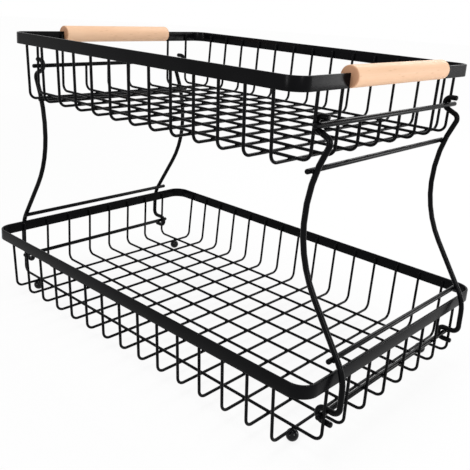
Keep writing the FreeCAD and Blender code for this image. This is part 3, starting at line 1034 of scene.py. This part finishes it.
@dataclass(frozen=True)
class BallFeet:
    """Four ball feet under the outer crossings of the lower basket."""

    basket: Basket
    diameter: float = 10.0
    flat: float = 0.25
    segments: int = 40
    rings: int = 24

    def build(self) -> None:
        """Make the feet and hand them to the frame."""
        shop = self.basket.shop
        standing = self.diameter / 2.0 - self.flat
        reach_x = (self.basket.cross_count - 1) / 2.0 * self.basket.cross_pitch
        reach_y = self.basket.half_row
        places = [Vector((x, y, standing)) * MM for x in (reach_x, -reach_x) for y in (reach_y, -reach_y)]
        seed = bpy.data.meshes.new("ball_places")
        seed.from_pydata(places, [], [])
        feet = grown("ball_feet_enamelled", seed, shop.trees.ball_row, Ball_Radius=self.diameter / 2.0 * MM,
                     Standing_Height=standing * MM, Segments=self.segments, Rings=self.rings,
                     Finish=shop.enamel)
        settle(feet, self.basket.body, ["ball_feet"])


@dataclass(frozen=True)
class SideFrame:
    """One side frame: two hooked wire legs and two bars across their inner sides."""

    end: End
    lower: Basket
    upper: Basket
    leg_y: float = 94.4
    hook_bore: float = 6.0
    hook_clearance: float = 0.3
    hook_tip: float = 5.5
    hook_stub: float = 8.0
    neck_slope: float = 25.0
    shoulder_reach: float = 7.7
    shoulder_bend: float = 5.0
    waist_inset: float = 7.3
    waist_bend: float = 120.0
    knee_drop: float = 12.0
    leg_rim_gap: float = 4.0
    ankle_bend: float = 6.0
    bar_rim_gap: float = 5.9
    bar_overhang: float = 3.25
    calf_share: float = 0.62
    knee_share: float = 0.23
    upper_bar_share: float = 0.64
    bead_segments: int = 14
    bead_rings: int = 8

    def work_out(self) -> tuple[list[Point], list[Point]]:
        """Work out the leg and the bars of the right frame.

        Returns:
            The leg's axis, and the places of the upper and lower bars.
        """
        hook = (self.hook_bore + STOCK.leg_wire) / 2.0
        play = (self.hook_bore - STOCK.rod_wire) / 2.0 - self.hook_clearance
        upper_x, upper_rod_z = self.upper.rod_place
        lower_x, lower_rod_z = self.lower.rod_place
        upper_z = upper_rod_z + play
        lower_z = lower_rod_z - play
        slope = radians(self.neck_slope)
        shoulder_x = upper_x + self.shoulder_reach - self.shoulder_bend
        neck_foot_x = shoulder_x + self.shoulder_bend * sin(slope)
        neck_drop = (neck_foot_x - upper_x + hook * sin(slope)) * tan(slope)
        shoulder_z = upper_z - (hook + self.shoulder_bend) * cos(slope) - neck_drop
        waist_least = upper_x - self.waist_inset
        waist_x = waist_least + self.waist_bend
        both_bends = self.waist_bend + self.shoulder_bend
        waist_turn = acos((waist_x - shoulder_x) / both_bends)
        waist_z = shoulder_z - both_bends * sin(waist_turn)
        shin_x = self.lower.length / 2.0 + self.leg_rim_gap + STOCK.leg_wire / 2.0
        knee_z = self.lower.rim_foot + STOCK.band_height - self.knee_drop
        offset = shin_x - waist_least
        drop = waist_z - knee_z
        widest = (offset * offset + drop * drop) / (2.0 * offset)
        calf = self.calf_share * widest
        knee = self.knee_share * widest
        calf_x = waist_least + calf
        knee_x = shin_x - knee
        apart = hypot(calf_x - knee_x, drop)
        calf_slope = atan2(drop, calf_x - knee_x) - acos((calf + knee) / apart)
        ankle = (shin_x - self.ankle_bend, lower_z + hook + self.ankle_bend)
        turn = degrees(waist_turn)
        calf_turn = degrees(calf_slope)
        axis = [(upper_x + self.hook_tip, upper_z + hook)]
        axis += bend((upper_x, upper_z), hook, 90.0, 270.0 - self.neck_slope)
        axis += bend((shoulder_x, shoulder_z), self.shoulder_bend, 90.0 - self.neck_slope, -turn)
        axis += bend((waist_x, waist_z), self.waist_bend, 180.0 - turn, 180.0)
        axis += bend((calf_x, waist_z), calf, 180.0, 180.0 + calf_turn)[1:]
        axis += bend((knee_x, knee_z), knee, calf_turn, 0.0)
        axis += bend(ankle, self.ankle_bend, 0.0, -90.0)
        axis += bend((lower_x, lower_z), hook, 90.0, 270.0)
        axis.append((lower_x + self.hook_stub, lower_z - hook))
        seat = STOCK.leg_wire / 2.0 + STOCK.weld_gap + STOCK.bar_wire / 2.0
        bar_turn = self.upper_bar_share * waist_turn
        upper_reach = self.waist_bend + seat
        upper_bar = (waist_x - upper_reach * cos(bar_turn), waist_z + upper_reach * sin(bar_turn))
        rise = self.knee_drop + self.bar_rim_gap + STOCK.bar_wire / 2.0
        # In the bend of the knee or, where that is too low, above it on the straight of the calf
        reach = knee - seat
        knee_turn = min(asin(min(1.0, rise / reach)), calf_slope)
        over = max(0.0, rise - reach * sin(calf_slope))
        lower_bar = (knee_x + reach * cos(knee_turn) - over * tan(calf_slope), knee_z + rise)
        return axis, [upper_bar, lower_bar]

    def build(self) -> None:
        """Make the frame and hand it to the CAD frame."""
        shop = self.lower.shop
        axis, bars = self.work_out()
        side = self.end.value
        word = self.end.word
        body = f"{word}_frame"
        legs = [f"{word}_front_leg", f"{word}_back_leg"]
        leg_axes = [spread(Plane.ALONG, [(side * across, up) for across, up in axis])]
        pitch = (0.0, 2.0 * self.leg_y, 0.0)
        shop.bend_wires(f"{word}_legs", body, legs, leg_axes, STOCK.leg_wire, len(legs), pitch)
        half = self.leg_y + STOCK.leg_wire / 2.0 + self.bar_overhang
        bar_axes = []
        beads = WeldBeads(shop, f"{word}_frame_beads", body, self.bead_segments, self.bead_rings)
        for across, up in bars:
            bar_axes.append(spread(Plane.ACROSS, [(-half, up), (half, up)], (side * across, 0.0, 0.0)))
            for depth in (1, -1):
                beads.add((side * (across + STOCK.bar_wire / 2.0), depth * self.leg_y, up), STOCK.bar_bead)
        shop.bend_wires(f"{word}_bars", body, [f"{word}_frame_bars"], bar_axes, STOCK.bar_wire)
        beads.build()


@dataclass(frozen=True)
class Softbox:
    """One soft lamp of the studio, placed and aimed in metres."""

    name: str
    place: Place
    width: float
    height: float
    power: float
    aim: Place = (0.0, 0.0, 0.14)

    def build(self) -> None:
        """Make the lamp."""
        lamp = bpy.data.lights.new(self.name, "AREA")
        lamp.shape = "RECTANGLE"
        lamp.size = self.width
        lamp.size_y = self.height
        lamp.energy = self.power
        holder = link(bpy.data.objects.new(self.name, lamp))
        holder.location = self.place
        holder.rotation_euler = (Vector(self.aim) - Vector(self.place)).to_track_quat("-Z", "Y").to_euler()


@dataclass(frozen=True)
class PhotoCamera:
    """The camera, at the photograph's viewing angle."""

    place: Place = (427.70, -461.73, 320.19)
    azimuth: float = 41.957
    elevation: float = 15.848
    roll: float = 3.655
    focal_pixels: float = 676.46
    axis_row: float = 186.1
    frame_pixels: float = 470.0
    sensor: float = 36.0
    nearest: float = 10.0

    def build(self) -> None:
        """Make the camera and give it to the scene."""
        azimuth, elevation, roll = (radians(turn) for turn in (self.azimuth, self.elevation, self.roll))
        level = Vector((cos(azimuth), sin(azimuth), 0.0))
        back = Vector((sin(azimuth) * cos(elevation), -cos(azimuth) * cos(elevation), sin(elevation)))
        upright = back.cross(level)
        right = cos(roll) * level + sin(roll) * upright
        up = cos(roll) * upright - sin(roll) * level
        lens = bpy.data.cameras.new("PhotoCamera")
        lens.sensor_width = self.sensor
        lens.lens = self.focal_pixels / self.frame_pixels * self.sensor
        lens.shift_y = self.axis_row / self.frame_pixels - 0.5
        lens.clip_start = self.nearest * MM
        camera = link(bpy.data.objects.new("PhotoCamera", lens))
        turn = Matrix((right, up, back)).transposed().to_4x4()
        camera.matrix_world = Matrix.Translation(Vector(self.place) * MM) @ turn
        bpy.context.scene.camera = camera


@dataclass(frozen=True)
class Studio:
    """Pale floor, soft lamps and a white surround, in metres."""

    floor_radius: float = 6.0
    floor_sides: int = 96
    floor_tone: float = 0.92
    floor_drift: float = 0.02
    near_glow: float = 0.89
    far_glow: float = 0.98
    near_radius: float = 0.5
    far_radius: float = 1.6
    surround_light: float = 0.35
    lamps: tuple[Softbox, ...] = (
        Softbox("BackSoftbox", (-0.15, 1.30, 1.10), width=0.80, height=0.60, power=9.0),
        Softbox("TopSoftbox", (-0.10, -0.10, 1.75), width=0.80, height=0.80, power=10.0),
        Softbox("RightSoftbox", (0.95, 1.15, 0.28), width=0.25, height=0.56, power=5.0),
        Softbox("SideSoftbox", (1.43, -0.43, 0.66), width=0.18, height=0.60, power=9.0),
        Softbox("FrontStrip", (0.05, -1.50, 0.40), width=0.12, height=0.70, power=6.0),
    )

    @staticmethod
    def seen(bench: NodeBench) -> NodeSocket:
        """Mask the rays that show the background, straight or mirrored.

        Args:
            bench: The bench of the material or world.

        Returns:
            The mask's socket.
        """
        path = bench.add("ShaderNodeLightPath")
        mirrored = bench.math("MAXIMUM", path["Is Glossy Ray"], path["Is Transmission Ray"])
        return bench.math("MAXIMUM", path["Is Camera Ray"], mirrored)

    def build_floor(self) -> None:
        """Make the floor, white where it is lit and darker in the object's shadow."""
        material, bench, surface = new_material("PaleFloor")
        place = bench.add("ShaderNodeTexCoord")["Object"]
        mottle = bench.add("ShaderNodeTexNoise", {"Vector": place, "Scale": 3.0, "Detail": 2.0})["Fac"]
        tone = bench.remap(mottle, (0.0, 1.0), (self.floor_tone, self.floor_tone + self.floor_drift))
        matt = bench.add("ShaderNodeBsdfDiffuse", {"Color": tone})[0]
        reach = bench.add("ShaderNodeVectorMath", {"Vector": place}, operation="LENGTH")["Value"]
        share = bench.remap(reach, (self.near_radius, self.far_radius), (self.near_glow, self.far_glow))
        white = bench.add("ShaderNodeEmission", {"Strength": 1.0})[0]
        glow = bench.math("MULTIPLY", self.seen(bench), share)
        shown = bench.add("ShaderNodeMixShader", {"Fac": glow, "Shader": matt, "Shader_001": white})[0]
        bench.feed(surface, shown)
        shape = bmesh.new()
        bmesh.ops.create_circle(shape, cap_ends=True, radius=self.floor_radius, segments=self.floor_sides)
        mesh = bpy.data.meshes.new("studio_floor")
        shape.to_mesh(mesh)
        shape.free()
        mesh.materials.append(material)
        link(bpy.data.objects.new("studio_floor", mesh))

    def build_surround(self) -> None:
        """Make the world: an even soft light, white where it is seen."""
        world = bpy.data.worlds.new("WhiteSurround")
        world.use_nodes = True
        world.node_tree.nodes.clear()
        bench = NodeBench(world.node_tree)
        extra = bench.math("MULTIPLY", self.seen(bench), 1.0 - self.surround_light)
        level = bench.math("ADD", extra, self.surround_light)
        sky = bench.add("ShaderNodeBackground", {"Color": (1.0, 1.0, 1.0, 1.0), "Strength": level})[0]
        bench.feed(world.node_tree.nodes.new("ShaderNodeOutputWorld").inputs["Surface"], sky)
        bpy.context.scene.world = world

    def build(self) -> None:
        """Make the studio and the camera."""
        self.build_floor()
        self.build_surround()
        for lamp in self.lamps:
            lamp.build()
        PhotoCamera().build()
        bpy.context.scene.view_settings.view_transform = "Standard"


def main() -> None:
    """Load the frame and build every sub-assembly round it."""
    logging.basicConfig(level=logging.INFO, format="%(name)s: %(message)s")
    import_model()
    groups = SurfaceGroups()
    shop = Workshop(ShapeTrees(), groups, SATIN_COAT.material(groups), FOOT_ENAMEL.material(groups))
    lower = Basket(shop, "lower", length=408.5, width=260.5, corner=15.0, wall=48.7, side_inset=3.2,
                   end_inset=0.4, floor=9.95, cross_count=15, rod_rise=22.4, rod_side=-1, full_long_wires=0)
    upper = Basket(shop, "upper", length=344.7, width=249.5, corner=14.0, wall=50.8, side_inset=2.7,
                   end_inset=1.4, floor=212.05, cross_count=13, rod_rise=27.8, rod_side=1, full_long_wires=2)
    lower.build()
    upper.build()
    BallFeet(lower).build()
    for end in End:
        Grip(end, upper).build()
        SideFrame(end, lower, upper).build()
    Studio().build()


if __name__ == "__main__":
    main()
